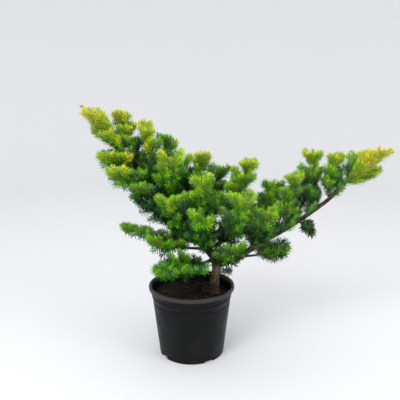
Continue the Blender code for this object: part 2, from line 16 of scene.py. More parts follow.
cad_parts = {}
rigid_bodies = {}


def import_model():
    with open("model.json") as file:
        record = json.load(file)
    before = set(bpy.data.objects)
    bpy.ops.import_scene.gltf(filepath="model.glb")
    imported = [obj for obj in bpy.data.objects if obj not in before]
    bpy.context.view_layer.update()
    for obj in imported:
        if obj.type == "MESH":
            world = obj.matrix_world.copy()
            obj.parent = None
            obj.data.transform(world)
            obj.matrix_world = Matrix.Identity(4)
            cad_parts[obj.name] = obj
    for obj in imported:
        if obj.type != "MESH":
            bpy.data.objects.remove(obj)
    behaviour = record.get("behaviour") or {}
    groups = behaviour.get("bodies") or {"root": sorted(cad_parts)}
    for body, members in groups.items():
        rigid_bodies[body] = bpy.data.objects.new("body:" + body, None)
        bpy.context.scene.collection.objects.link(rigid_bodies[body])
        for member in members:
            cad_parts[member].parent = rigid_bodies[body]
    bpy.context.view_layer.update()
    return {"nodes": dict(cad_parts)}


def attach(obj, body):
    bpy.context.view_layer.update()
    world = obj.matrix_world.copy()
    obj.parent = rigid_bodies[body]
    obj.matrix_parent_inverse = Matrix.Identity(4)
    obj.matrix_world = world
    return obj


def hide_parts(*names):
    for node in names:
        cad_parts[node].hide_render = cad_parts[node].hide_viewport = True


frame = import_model()


# Camera
# It stands where the pot's rim and base show as the two ellipses of the photograph, looking a
# little down on the plant, with no shift and no depth of field.

CAMERA_PLACE = (0.0217, -1.317, 0.7045)
CAMERA_TILT_DOWN = 12.745
CAMERA_LENS = 48.6
SENSOR_WIDTH = 36

camera_data = bpy.data.cameras.new("camera")
camera_data.lens = CAMERA_LENS
camera_data.sensor_width = SENSOR_WIDTH
camera = bpy.data.objects.new("camera", camera_data)
camera.location = CAMERA_PLACE
camera.rotation_euler = (math.radians(90 - CAMERA_TILT_DOWN), 0, 0)
bpy.context.scene.collection.objects.link(camera)
bpy.context.scene.camera = camera
# The standard view shows a finish in the sRGB colour that it is given
bpy.context.scene.view_settings.view_transform = "Standard"


# Floor and light
# A plain pale floor that curves up all round into a wall, as a photographer's cove does, so no edge
# is in view. Pale light falls in from above. Two soft boxes add to it, the stronger at the left.

COVE_FLOOR_RADIUS = 2.4
COVE_CURVE_RADIUS = 1.4
COVE_HEIGHT = 4.2
COVE_STEPS = 96
COVE_CURVE_STEPS = 24
SKY_COLOUR = "#f6f8fb"
SKY_STRENGTH = 1.20
# Place, aim, side of the square box in metres, watts
SOFT_BOXES = (
    ((-0.9, -1.7, 2.0), (0.0, 0.0, 0.35), 1.2, 33),
    ((1.7, -1.2, 1.3), (0.1, 0.0, 0.35), 1.0, 12),
)
# Points nearer to each other than this are one
SAME_PLACE = 1e-6


def linear(hex_colour):
    """An sRGB hex colour as linear RGBA."""
    parts = [int(hex_colour[i : i + 2], 16) / 255 for i in (1, 3, 5)]
    return [c / 12.92 if c <= 0.04045 else ((c + 0.055) / 1.055) ** 2.4 for c in parts] + [1.0]


def new_finish(name, colour, roughness, specular=0.5):
    """A material with one plain Principled shader, and its node tree and shader for more nodes."""
    made = bpy.data.materials.new(name)
    made.use_nodes = True
    shader = made.node_tree.nodes["Principled BSDF"]
    shader.inputs["Base Color"].default_value = linear(colour)
    shader.inputs["Roughness"].default_value = roughness
    shader.inputs["Specular IOR Level"].default_value = specular
    made.diffuse_color = linear(colour)
    return made, made.node_tree, shader


def new_object(name, mesh, *finishes):
    made = bpy.data.objects.new(name, mesh)
    for finish in finishes:
        mesh.materials.append(finish)
    bpy.context.scene.collection.objects.link(made)
    return made


def arc(centre, radius, start, end, steps):
    """Points of an arc in the section's plane, angles in degrees from outwards to up."""
    turns = np.radians(np.linspace(start, end, steps))
    return [(centre[0] + radius * math.cos(a), centre[1] + radius * math.sin(a)) for a in turns]


def spun_shape(profile, steps):
    """A section of (radius, height) points spun once round Z, as a bmesh."""
    shape = bmesh.new()
    verts = [shape.verts.new((radius, 0.0, height)) for radius, height in profile]
    edges = [shape.edges.new(pair) for pair in zip(verts, verts[1:])]
    bmesh.ops.spin(
        shape, geom=verts + edges, cent=(0, 0, 0), axis=(0, 0, 1), angle=2 * math.pi,
        steps=steps, use_merge=True,
    )
    bmesh.ops.remove_doubles(shape, verts=shape.verts, dist=SAME_PLACE)
    bmesh.ops.recalc_face_normals(shape, faces=shape.faces)
    return shape


cove_section = [(0.0, 0.0)]
curve_centre = (COVE_FLOOR_RADIUS, COVE_CURVE_RADIUS)
cove_section += arc(curve_centre, COVE_CURVE_RADIUS, -90, 0, COVE_CURVE_STEPS)
cove_section.append((COVE_FLOOR_RADIUS + COVE_CURVE_RADIUS, COVE_HEIGHT))
cove_shape = spun_shape(cove_section, COVE_STEPS)
bmesh.ops.reverse_faces(cove_shape, faces=cove_shape.faces)
cove_mesh = bpy.data.meshes.new("cove")
cove_shape.to_mesh(cove_mesh)
cove_shape.free()
cove_mesh.shade_smooth()
cove_paint = new_finish("matt white studio cove", "#e7e7e8", 0.9, 0.1)[0]
new_object("cove", cove_mesh, cove_paint)

world = bpy.data.worlds.new("pale sky")
world.use_nodes = True
world.node_tree.nodes["Background"].inputs["Color"].default_value = linear(SKY_COLOUR)
world.node_tree.nodes["Background"].inputs["Strength"].default_value = SKY_STRENGTH
bpy.context.scene.world = world

for place, aim, side, watts in SOFT_BOXES:
    box_light = bpy.data.lights.new("soft box", "AREA")
    box_light.size = side
    box_light.energy = watts
    box = bpy.data.objects.new("soft box", box_light)
    box.location = place
    box.rotation_euler = (Vector(aim) - Vector(place)).to_track_quat("-Z", "Y").to_euler()
    bpy.context.scene.collection.objects.link(box)


# Pot
# A round nursery pot, injection moulded in one piece from black polypropylene: a rounded rim, a
# grooved collar below it, a tapering wall with one more groove, and four drain notches at the foot.

POT_HEIGHT = 0.1843
RIM_RADIUS = 0.1103
BASE_RADIUS = 0.0836
POT_WALL = 0.0022
POT_FLOOR = 0.0035
RIM_DEPTH = 0.0095
RIM_OVERHANG = 0.0042
RIM_ROUNDING = 0.0016
GROOVE_DEPTH = 0.0013
GROOVE_WIDTH = 0.0034
# Heights of the grooves, one in the collar and one below its step
COLLAR_GROOVE = 0.1610
LOW_GROOVE = 0.1425
COLLAR_DEPTH = 0.0310
COLLAR_STEP = 0.0014
# In collar steps: how far in and how high the corners of the collar's foot are, and how far in the
# low groove lies
COLLAR_FOOT = ((1.0, -1.0), (0.3, -0.3), (0.0, 0.5))
LOW_GROOVE_INSET = 0.8
BASE_ROUNDING = 0.0025
ROUNDING_STEPS = 5
POT_STEPS = 128
NOTCH_COUNT = 4
FIRST_NOTCH_HEADING = 33
NOTCH_WIDTH = 0.026
NOTCH_HEIGHT = 0.010
NOTCH_DEPTH = 0.007
NOTCH_ROUNDING = 0.003
SHARP_ANGLE = 40
POT_BLACK = "#060707"
# The grey of the dust on the lower wall; on the rim's top it is partly wear and partly a painted highlight
DUST_AND_HIGHLIGHT_GREY = "#5d5c59"
# Each pattern's scale is how many of its marks there are to the metre
DUST_PATCHES = 26
PEEL_SPECKS = 210
# A Mix node's colour sockets, which have no names of their own
MIX_A = 6
MIX_B = 7
MIX_RESULT = 2


def add_node(tree, kind, settings, inputs):
    """Adds a node with its settings, and values or links for its inputs."""
    node = tree.nodes.new(kind)
    for name, value in settings.items():
        setattr(node, name, value)
    for name, value in inputs.items():
        if isinstance(value, bpy.types.NodeSocket):
            tree.links.new(value, node.inputs[name])
        else:
            node.inputs[name].default_value = value
    return node


def pot_section():
    """The wall's section from the middle of the underside out, up, over the rim and down inside."""
    wall_top = RIM_RADIUS - RIM_OVERHANG
    taper = (wall_top - BASE_RADIUS) / POT_HEIGHT

    def wall(height):
        return BASE_RADIUS + taper * height

    def groove(middle, inset):
        return [
            (wall(middle) - inset, middle - GROOVE_WIDTH / 2),
            (wall(middle) - inset - GROOVE_DEPTH, middle - GROOVE_WIDTH / 6),
            (wall(middle) - inset - GROOVE_DEPTH, middle + GROOVE_WIDTH / 6),
            (wall(middle) - inset, middle + GROOVE_WIDTH / 2),
        ]

    section = [(0.0, 0.0)]
    base_corner = (BASE_RADIUS - BASE_ROUNDING, BASE_ROUNDING)
    section += arc(base_corner, BASE_ROUNDING, -90, 0, ROUNDING_STEPS)
    collar_foot = POT_HEIGHT - COLLAR_DEPTH
    section += groove(LOW_GROOVE, LOW_GROOVE_INSET * COLLAR_STEP)
    for inset, rise in COLLAR_FOOT:
        section.append((wall(collar_foot) - inset * COLLAR_STEP, collar_foot + rise * COLLAR_STEP))
    section += groove(COLLAR_GROOVE, 0.0)
    rim_foot = POT_HEIGHT - RIM_DEPTH
    section.append((wall(rim_foot), rim_foot))
    outer = RIM_RADIUS - RIM_ROUNDING
    inner = wall_top - POT_WALL + RIM_ROUNDING
    top = POT_HEIGHT - RIM_ROUNDING
    section += arc((outer, rim_foot + RIM_ROUNDING), RIM_ROUNDING, -90, 0, ROUNDING_STEPS)
    section += arc((outer, top), RIM_ROUNDING, 0, 90, ROUNDING_STEPS)
    section += arc((inner, top), RIM_ROUNDING, 90, 180, ROUNDING_STEPS)
    section += [
        (wall(rim_foot) - POT_WALL, rim_foot),
        (BASE_RADIUS - POT_WALL, POT_FLOOR),
        (0.0, POT_FLOOR),
    ]
    return section


def finished_mesh(drawn):
    """The object's mesh with its modifiers applied."""
    bpy.context.view_layer.update()
    graph = bpy.context.evaluated_depsgraph_get()
    return bpy.data.meshes.new_from_object(drawn.evaluated_get(graph))


pot_shape = spun_shape(pot_section(), POT_STEPS)
pot_mesh = bpy.data.meshes.new("pot")
pot_shape.to_mesh(pot_mesh)
pot_shape.free()

# Moulded polypropylene: dull black with an uneven sheen, grey dust rubbed in patches some 40 mm
# across on the lower wall, and a grey band on the top of the rim that is partly wear and partly a
# painted highlight. The real orange-peel skin is finer than a millimetre; it is drawn 5 mm across
# so that it shows.
polypropylene, tree, shader = new_finish("moulded black polypropylene", POT_BLACK, 0.42, 0.16)
places = add_node(tree, "ShaderNodeTexCoord", {}, {}).outputs["Object"]
height = add_node(tree, "ShaderNodeSeparateXYZ", {}, {"Vector": places}).outputs["Z"]
cloud_size = {"Vector": places, "Scale": DUST_PATCHES, "Detail": 6}
clouds = add_node(tree, "ShaderNodeTexNoise", {}, cloud_size).outputs["Fac"]
speck_size = {"Vector": places, "Scale": PEEL_SPECKS, "Detail": 4}
specks = add_node(tree, "ShaderNodeTexNoise", {}, speck_size).outputs["Fac"]
foot_range = {"Value": height, "From Min": 0.0, "From Max": 0.11, "To Min": 0.30, "To Max": 0.05}
low = add_node(tree, "ShaderNodeMapRange", {}, foot_range).outputs["Result"]
patch_range = {"Value": clouds, "From Min": 0.46, "From Max": 0.72}
patches = add_node(tree, "ShaderNodeMapRange", {}, patch_range).outputs["Result"]
grain_range = {"Value": specks, "From Min": 0.42, "From Max": 0.70}
grains = add_node(tree, "ShaderNodeMapRange", {}, grain_range).outputs["Result"]
# The rim's top is painted grey: partly wear and partly a painted highlight
rim_wear_and_highlight_range = {"Value": height, "From Min": 0.172, "From Max": 0.178, "To Min": 0.0, "To Max": 0.35}
rim_wear_and_highlight = add_node(tree, "ShaderNodeMapRange", {}, rim_wear_and_highlight_range).outputs["Result"]
dusty = add_node(tree, "ShaderNodeMath", {"operation": "MULTIPLY"}, {0: patches, 1: grains})
foot_dust = add_node(tree, "ShaderNodeMath", {"operation": "MULTIPLY"}, {0: dusty.outputs[0], 1: low})
# The greater of the dust on the lower wall and the painted highlight and wear on the rim
dust_and_highlight = add_node(
    tree, "ShaderNodeMath", {"operation": "MAXIMUM"}, {0: foot_dust.outputs[0], 1: rim_wear_and_highlight}
)
mixed = add_node(tree, "ShaderNodeMix", {"data_type": "RGBA"}, {"Factor": dust_and_highlight.outputs[0]})
mixed.inputs[MIX_A].default_value = linear(POT_BLACK)
mixed.inputs[MIX_B].default_value = linear(DUST_AND_HIGHLIGHT_GREY)
tree.links.new(mixed.outputs[MIX_RESULT], shader.inputs["Base Color"])
sheen_range = {"Value": clouds, "From Min": 0.3, "From Max": 0.7, "To Min": 0.36, "To Max": 0.58}
sheen = add_node(tree, "ShaderNodeMapRange", {}, sheen_range).outputs["Result"]
tree.links.new(sheen, shader.inputs["Roughness"])
bump = add_node(tree, "ShaderNodeBump", {}, {"Height": specks, "Strength": 0.12, "Distance": 0.0006})
tree.links.new(bump.outputs["Normal"], shader.inputs["Normal"])

pot = new_object("pot_wall", pot_mesh, polypropylene)
notches = bpy.data.collections.new("drain notches")
bpy.context.scene.collection.children.link(notches)
for i in range(NOTCH_COUNT):
    turn = math.radians(FIRST_NOTCH_HEADING) + 2 * math.pi * i / NOTCH_COUNT
    notch_shape = bmesh.new()
    bmesh.ops.create_cube(notch_shape, size=1.0)
    notch_size = (2 * NOTCH_DEPTH, NOTCH_WIDTH, 2 * NOTCH_HEIGHT)
    bmesh.ops.scale(notch_shape, vec=notch_size, verts=notch_shape.verts)
    bmesh.ops.bevel(
        notch_shape, geom=notch_shape.edges[:], offset=NOTCH_ROUNDING, segments=3, profile=0.5,
        affect="EDGES", material=-1,
    )
    bmesh.ops.translate(notch_shape, vec=(BASE_RADIUS, 0, 0), verts=notch_shape.verts)
    bmesh.ops.rotate(
        notch_shape, cent=(0, 0, 0), matrix=Matrix.Rotation(turn, 3, "Z"), verts=notch_shape.verts
    )
    notch_mesh = bpy.data.meshes.new("notch")
    notch_shape.to_mesh(notch_mesh)
    notch_shape.free()
    notches.objects.link(bpy.data.objects.new("notch", notch_mesh))
cut = pot.modifiers.new("drain notches", "BOOLEAN")
cut.operation = "DIFFERENCE"
cut.operand_type = "COLLECTION"
cut.collection = notches
cut_mesh = finished_mesh(pot)
pot.modifiers.clear()
pot.data = cut_mesh
for notch in list(notches.objects):
    bpy.data.objects.remove(notch)
bpy.data.collections.remove(notches)
pot.data.shade_smooth()
pot.data.set_sharp_from_angle(angle=math.radians(SHARP_ANGLE))
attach(pot, "root")
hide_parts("pot")


# Soil
# Potting soil, damp and dark: peat with chips of bark, grains and bits of dry straw on top. The
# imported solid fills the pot; a rough crust, loose crumbs and straw lie on it.

SOIL_TOP = 0.1550
CRUST_RADIUS = 0.0985
CRUST_EDGE = 0.004
CRUST_SUNK = 0.001
CRUST_RINGS = 26
CRUST_STEPS = 120
CRUST_LIFT = 0.003
CRUST_LEAST_LIFT = 0.0005
CRUST_ROUGHNESS = 0.0035
# Lumps to the metre, then the noise's fall-off, ratio and number of octaves
CRUST_LUMPS = 90
CRUST_NOISE = (0.9, 2.1, 4)
TRUNK_FOOT = (0.058, 0.0)
BANK_HEIGHT = 0.005
BANK_REACH = 0.028
LITTER_RADIUS = 0.093
# How many of each, their least size and what chance adds, and their stretch along three axes
CRUMBS = (900, 0.0008, 0.0022, (1, 1, 0.8))
CHIPS = (150, 0.002, 0.004, (1.3, 0.8, 0.3))
# In both pairs, the least value and what chance adds
LUMP_CORNERS = (0.65, 0.6)
STRAW_HALF_LENGTH = (0.004, 0.010)
LUMP_LEAN = 0.8
STRAWS = 30
STRAW_RADIUS = 0.0003
STRAW_LEAN = 0.3
STRAW_LIFT = 0.001
STRAW_SIDES = 4
SOIL_SEED = 5
PEAT_FIBRES = 420

draw = np.random.RandomState(SOIL_SEED)


def ring_frames(line):
    """For each point of a line, its direction and two square axes that turn as little as they can."""
    ways = np.gradient(line, axis=0)
    ways /= np.linalg.norm(ways, axis=1)[:, None]
    across = np.array([0.0, 0.0, 1.0]) if abs(ways[0][2]) < 0.9 else np.array([1.0, 0.0, 0.0])
    frames = []
    for way in ways:
        across = across - way * (across @ way)
        across /= np.linalg.norm(across)
        frames.append((way, across, np.cross(way, across)))
    return frames


def tube(line, radii, sides, relief=None):
    """Points and triangles of a tapering tube with closed ends. Relief scales the radius at a point."""
    verts, triangles = [], []
    for point, radius, (way, across, up) in zip(line, radii, ring_frames(line)):
        for j in range(sides):
            turn = 2 * math.pi * j / sides
            out = math.cos(turn) * across + math.sin(turn) * up
            size = radius * (relief(point, out) if relief else 1.0)
            verts.append(point + size * out)
    for k in range(len(line) - 1):
        for j in range(sides):
            a, b = k * sides + j, k * sides + (j + 1) % sides
            triangles += [(a, b, b + sides), (a, b + sides, a + sides)]
    foot, top = len(verts), len(verts) + 1
    verts += [line[0], line[-1]]
    last = (len(line) - 1) * sides
    for j in range(sides):
        triangles.append((foot, (j + 1) % sides, j))
        triangles.append((top, last + j, last + (j + 1) % sides))
    return np.array(verts), np.array(triangles)


def joined(parts):
    """Several (points, triangles) as one."""
    starts = np.cumsum([0] + [len(verts) for verts, triangles in parts[:-1]])
    verts = np.vstack([part[0] for part in parts])
    return verts, np.vstack([part[1] + start for part, start in zip(parts, starts)])


def mesh_of(name, verts, triangles, finish_index=None, smooth=False):
    mesh = bpy.data.meshes.new(name)
    mesh.vertices.add(len(verts))
    mesh.vertices.foreach_set("co", np.asarray(verts, np.float32).ravel())
    mesh.loops.add(3 * len(triangles))
    mesh.loops.foreach_set("vertex_index", np.asarray(triangles, np.int32).ravel())
    mesh.polygons.add(len(triangles))
    mesh.polygons.foreach_set("loop_start", np.arange(0, 3 * len(triangles), 3, dtype=np.int32))
    if finish_index is not None:
        mesh.polygons.foreach_set("material_index", np.asarray(finish_index, np.int32))
    mesh.polygons.foreach_set("use_smooth", np.full(len(triangles), smooth))
    mesh.update(calc_edges=True)
    return mesh


def lump(place, size, stretch):
    """A small irregular grain of eight faces."""
    corners = np.array([(1, 0, 0), (0, 1, 0), (-1, 0, 0), (0, -1, 0), (0, 0, 1), (0, 0, -1)], float)
    corners *= size * (LUMP_CORNERS[0] + LUMP_CORNERS[1] * draw.rand(6))[:, None]
    corners *= np.array(stretch)
    turn = 2 * math.pi * draw.rand()
    lean = LUMP_LEAN * (draw.rand() - 0.5)
    c, s = math.cos(turn), math.sin(turn)
    flat = np.array([(c, -s, 0), (s, c, 0), (0, 0, 1)])
    c, s = math.cos(lean), math.sin(lean)
    tilted = np.array([(1, 0, 0), (0, c, -s), (0, s, c)])
    faces = [(i, (i + 1) % 4, 4) for i in range(4)] + [((i + 1) % 4, i, 5) for i in range(4)]
    return corners @ tilted.T @ flat.T + place, np.array(faces)


def soil_height(x, y):
    """How far the crust stands above the packed soil: rough all over and banked at the trunk."""
    rough = noise.fractal(Vector((x, y, 0.0)) * CRUST_LUMPS, *CRUST_NOISE)
    away = math.hypot(x - TRUNK_FOOT[0], y - TRUNK_FOOT[1])
    bank = BANK_HEIGHT * math.exp(-((away / BANK_REACH) ** 2))
    return CRUST_LIFT + CRUST_ROUGHNESS * rough + bank


def scattered(count, least, more, stretch):
    """Loose lumps on the crust, most of them small."""
    return joined([lump(on_soil(), least + more * draw.rand() ** 2, stretch) for i in range(count)])


def on_soil():
    """A place drawn evenly over the crust."""
    turn = 2 * math.pi * draw.rand()
    far = LITTER_RADIUS * math.sqrt(draw.rand())
    x, y = far * math.cos(turn), far * math.sin(turn)
    return np.array([x, y, SOIL_TOP + soil_height(x, y)])


underside = (0.0, CRUST_RADIUS - CRUST_EDGE, CRUST_RADIUS)
crust_section = [(radius, SOIL_TOP - CRUST_SUNK) for radius in underside]
for radius in np.linspace(CRUST_RADIUS, 0.0, CRUST_RINGS):
    crust_section.append((radius, SOIL_TOP + CRUST_LIFT))
crust_shape = spun_shape(crust_section, CRUST_STEPS)
for vert in crust_shape.verts:
    if vert.co.z > SOIL_TOP:
        vert.co.z = SOIL_TOP + max(soil_height(vert.co.x, vert.co.y), CRUST_LEAST_LIFT)
crust_mesh = bpy.data.meshes.new("soil crust")
crust_shape.to_mesh(crust_mesh)
crust_shape.free()
crust_mesh.shade_smooth()

# Damp peat: near-black brown, matt, with paler fibres two or three millimetres across.
peat, tree, shader = new_finish("damp peat potting soil", "#2b1f17", 0.95, 0.2)
places = add_node(tree, "ShaderNodeTexCoord", {}, {}).outputs["Object"]
fibre_size = {"Vector": places, "Scale": PEAT_FIBRES, "Detail": 5}
fibres = add_node(tree, "ShaderNodeTexNoise", {}, fibre_size).outputs["Fac"]
browns = add_node(tree, "ShaderNodeValToRGB", {}, {"Fac": fibres})
browns.color_ramp.elements[0].position = 0.35
browns.color_ramp.elements[0].color = linear("#0b0705")
browns.color_ramp.elements[1].position = 0.72
browns.color_ramp.elements[1].color = linear("#2a1f17")
tree.links.new(browns.outputs["Color"], shader.inputs["Base Color"])
bump = add_node(tree, "ShaderNodeBump", {}, {"Height": fibres, "Strength": 0.6, "Distance": 0.002})
tree.links.new(bump.outputs["Normal"], shader.inputs["Normal"])
# Broken bark and old straw: dry, matt and of one plain colour each, as such small bits look
bark_chip = new_finish("broken pine bark", "#2c1d14", 0.9, 0.2)[0]
dry_straw = new_finish("dry straw", "#7d6a48", 0.8, 0.3)[0]

soil_solid = frame["nodes"]["soil"]
soil_solid.data.materials.clear()
soil_solid.data.materials.append(peat)
crust = new_object("soil_crust", crust_mesh, peat)
crumbs = new_object("soil_crumbs", mesh_of("soil crumbs", *scattered(*CRUMBS)), peat)
chips = new_object("bark_chips", mesh_of("bark chips", *scattered(*CHIPS)), bark_chip)
straw_parts = []
for i in range(STRAWS):
    middle = on_soil() + (0, 0, STRAW_LIFT)
    turn = 2 * math.pi * draw.rand()
    reach = STRAW_HALF_LENGTH[0] + STRAW_HALF_LENGTH[1] * draw.rand()
    half = reach * np.array([math.cos(turn), math.sin(turn), STRAW_LEAN * (draw.rand() - 0.5)])
    straw = np.array([middle - half, middle, middle + half])
    straw_parts.append(tube(straw, [STRAW_RADIUS] * len(straw), STRAW_SIDES))
straws = new_object("straw_bits", mesh_of("straw bits", *joined(straw_parts)), dry_straw)
for piece in (crust, crumbs, chips, straws):
    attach(piece, "root")


# Trunk and boughs
# Living wood. The trunk flares at the soil, leans left from the fork and carries the leader; one
# stout bough goes right, and nineteen small ones carry a mass each. Rough dark bark covers them all.

TRUNK_LINE = (
    (0.058, 0.0, 0.148),
    (0.060, 0.0, 0.200),
    (0.062, 0.0, 0.243),
    (0.030, 0.0, 0.294),
    (-0.026, 0.0, 0.365),
    (-0.094, 0.0, 0.447),
    (-0.164, 0.0, 0.528),
)
TRUNK_RADIUS = 0.0125
TRUNK_TIP_RADIUS = 0.0046
TRUNK_TAPER_POWER = 0.85
FLARE = 0.0050
FLARE_HEIGHT = 0.016
ARM_LINE = (
    (0.061, 0.0, 0.229),
    (0.086, 0.0, 0.243),
    (0.119, 0.0, 0.257),
    (0.180, 0.0, 0.297),
    (0.250, 0.0, 0.340),
    (0.335, 0.0, 0.4015),
    (0.381, 0.0, 0.449),
)
ARM_RADIUS = 0.0085
ARM_TIP_RADIUS = 0.0042
# Steps between two corners of a line: as in the solids, and finer for the bark
TRUNK_STEPS = 3
ARM_STEPS = 2
BARK_STEPS = 12
BARK_STEP = 0.0022
TRUNK_SUNK = 0.002
TRUNK_SIDES = 44
ARM_SIDES = 30
BOUGH_SIDES = 14
# Depths are shares of the radius; furrows run along the limb, plates are a few millimetres across
FURROW_DEPTH = 0.11
FURROWS_ROUND = 7
FURROWS_UP = 18
PLATE_DEPTH = 0.066
PLATES_ROUND = 260
PLATES_UP = 140
PLATE_TWIST = 3
BARK_CRACKS = 330
BLOOM_PATCHES = 45
# Every other limb: name, what carries it, how far along that, heading, rise at the root, reach,
# bare length, length of the side shoots, whorls, upward curl, seed. Metres and degrees.
Limb = namedtuple("Limb", "name carrier place heading rise reach bare side whorls curl seed")
LIMB_ROWS = (
    ("leader_left", "trunk", 1.00, -178, 48, 0.146, 0.000, 0.060, 4, 0, 8),
    ("left_top", "trunk", 0.87, 168, 61, 0.151, 0.000, 0.046, 3, 14, 3),
    ("left_top_b", "trunk", 0.74, -153, 74, 0.162, 0.000, 0.046, 3, 14, 19),
    ("centre_left_top", "trunk", 0.62, 112, 71, 0.170, 0.000, 0.050, 3, 14, 14),
    ("centre_top", "trunk", 0.48, 17, 72, 0.180, 0.000, 0.052, 3, 10, 19),
    ("centre_top_right", "trunk", 0.40, 38, 55, 0.180, 0.000, 0.054, 3, 16, 1),
    ("right_top", "trunk", 0.30, -5, 57, 0.250, 0.080, 0.055, 4, 16, 37),
    ("right_mid_up", "arm", 0.35, 49, 65, 0.158, 0.025, 0.050, 3, 16, 33),
    ("right_mid_top", "arm", 0.51, -38, 74, 0.148, 0.022, 0.046, 3, 12, 25),
    ("right_yellow", "arm", 0.70, 64, 78, 0.158, 0.018, 0.042, 3, 12, 4),
    ("right_gold", "arm", 0.86, -52, 75, 0.111, 0.014, 0.038, 3, 12, 7),
    ("leader_right", "arm", 1.00, 0, 38, 0.123, 0.000, 0.070, 3, 0, 8),
    ("left_side", "trunk", 0.91, -153, 4, 0.081, 0.000, 0.046, 3, 14, 3),
    ("left_front", "trunk", 0.78, -140, 5, 0.114, 0.000, 0.052, 3, 14, 1),
    ("left_mid", "trunk", 0.62, -146, 17, 0.117, 0.000, 0.052, 3, 14, 29),
    ("left_low", "trunk", 0.46, -166, 20, 0.138, 0.000, 0.052, 3, 14, 28),
    ("left_twig", "trunk", 0.35, 177, 3, 0.201, 0.120, 0.030, 2, 10, 29),
    ("low_left", "trunk", 0.30, -163, 5, 0.154, 0.055, 0.052, 3, 14, 22),
    ("front_low", "trunk", 0.23, -138, -6, 0.181, 0.050, 0.056, 4, 14, 13),
    ("front_right_low", "trunk", 0.21, -67, 18, 0.135, 0.045, 0.050, 3, 16, 36),
    ("front_centre_low", "trunk", 0.30, -97, 30, 0.188, 0.055, 0.055, 3, 18, 19),
    ("front_centre_left", "trunk", 0.48, -111, 25, 0.155, 0.000, 0.055, 3, 18, 7),
    ("front_centre_top", "trunk", 0.66, -79, 41, 0.144, 0.000, 0.055, 3, 18, 1),
    ("front_centre", "trunk", 0.45, -76, 37, 0.194, 0.050, 0.055, 3, 18, 38),
    ("right_front", "trunk", 0.26, -59, 41, 0.217, 0.060, 0.055, 3, 18, 1),
    ("right_front_b", "arm", 0.25, -70, 41, 0.154, 0.035, 0.050, 3, 18, 4),
    ("right_low", "arm", 0.17, 11, 0, 0.120, 0.045, 0.046, 3, 6, 2),
    ("right_under", "arm", 0.62, -17, -29, 0.047, 0.012, 0.022, 2, -30, 2),
    ("trunk_shoot", "trunk", 0.15, 15, -12, 0.038, 0.000, 0.016, 2, 10, 11),
    ("back_left", "trunk", 0.79, 107, 8, 0.119, 0.000, 0.055, 3, 18, 38),
    ("back_top", "trunk", 0.61, 82, 24, 0.165, 0.000, 0.058, 3, 18, 29),
    ("back_centre", "trunk", 0.43, 68, 14, 0.184, 0.050, 0.058, 3, 18, 19),
    ("back_right", "trunk", 0.29, 45, 15, 0.211, 0.060, 0.056, 3, 18, 19),
    ("back_right_arm", "arm", 0.48, 52, 31, 0.140, 0.028, 0.048, 3, 16, 29),
    ("back_low", "trunk", 0.32, 115, -4, 0.157, 0.055, 0.056, 3, 14, 4),
)
LIMBS = [Limb(*row) for row in LIMB_ROWS]
LIMB_STEPS = 8
LIMB_RADIUS = 0.0022
LIMB_RADIUS_PER_REACH = 0.012
LIMB_TIP_RADIUS = 0.0013


def heading_vector(heading, rise):
    a, e = math.radians(heading), math.radians(rise)
    return np.array([math.cos(a) * math.cos(e), math.sin(a) * math.cos(e), math.sin(e)])


def sweep(start, heading, rise, length, curl, steps):
    """Points along a limb that keeps its heading and curls upwards by curl degrees."""
    points = [np.array(start, float)]
    for i in range(steps):
        turned = rise + curl * (i + 0.5) / steps
        points.append(points[-1] + length / steps * heading_vector(heading, turned))
    return np.array(points)


def smooth_line(corners, steps):
    """A Catmull-Rom curve through the corners."""
    c = np.array(corners, float)
    c = np.vstack([2 * c[0] - c[1], c, 2 * c[-1] - c[-2]])
    points = []
    for i in range(1, len(c) - 2):
        for t in np.arange(steps) / steps:
            bend = 2 * c[i - 1] - 5 * c[i] + 4 * c[i + 1] - c[i + 2]
            twist = -c[i - 1] + 3 * c[i] - 3 * c[i + 1] + c[i + 2]
            ahead = c[i + 1] - c[i - 1]
            points.append(0.5 * (2 * c[i] + ahead * t + bend * t**2 + twist * t**3))
    points.append(c[-2])
    return np.array(points)


def marks_of(line):
    """The distance of each point of a line from its start."""
    return np.concatenate([[0], np.cumsum(np.linalg.norm(np.diff(line, axis=0), axis=1))])


def along(line, share):
    """The point this share of the way along a line, and the line's direction there."""
    marks = marks_of(line)
    far = share * marks[-1]
    i = min(int(np.searchsorted(marks, far, side="right")) - 1, len(line) - 2)
    direction = (line[i + 1] - line[i]) / (marks[i + 1] - marks[i])
    return line[i] + direction * (far - marks[i]), direction


def even_line(line, step):
    """The line again, with points this far apart."""
    marks = marks_of(line)
    places = np.linspace(0, marks[-1], max(3, round(marks[-1] / step) + 1))
    return np.column_stack([np.interp(places, marks, line[:, i]) for i in range(3)])


def trunk_radii(line):
    """Taper along the trunk, with the root flare at the soil."""
    marks = marks_of(line)
    done = (marks / marks[-1]) ** TRUNK_TAPER_POWER
    taper = TRUNK_RADIUS + (TRUNK_TIP_RADIUS - TRUNK_RADIUS) * done
    return taper + FLARE * np.exp(-np.maximum(line[:, 2] - SOIL_TOP, 0.0) / FLARE_HEIGHT)


def arm_radii(line):
    marks = marks_of(line)
    return ARM_RADIUS + (ARM_TIP_RADIUS - ARM_RADIUS) * marks / marks[-1]


def limb_radius(reach, distance):
    root = LIMB_RADIUS + LIMB_RADIUS_PER_REACH * reach
    return LIMB_TIP_RADIUS + (root - LIMB_TIP_RADIUS) * (1 - distance / reach)


def bark_relief(point, out):
    """Long shallow furrows and finer plates: one, more or less, times the radius."""
    turned = FURROWS_ROUND * out
    furrow = noise.noise(Vector((turned[0], turned[1], turned[2] + FURROWS_UP * point[2])))
    spot = Vector((PLATES_ROUND * point[0], PLATES_UP * point[2], PLATES_ROUND * point[1]))
    plate = noise.noise(spot + Vector(PLATE_TWIST * out))
    return 1 + FURROW_DEPTH * furrow + PLATE_DEPTH * plate


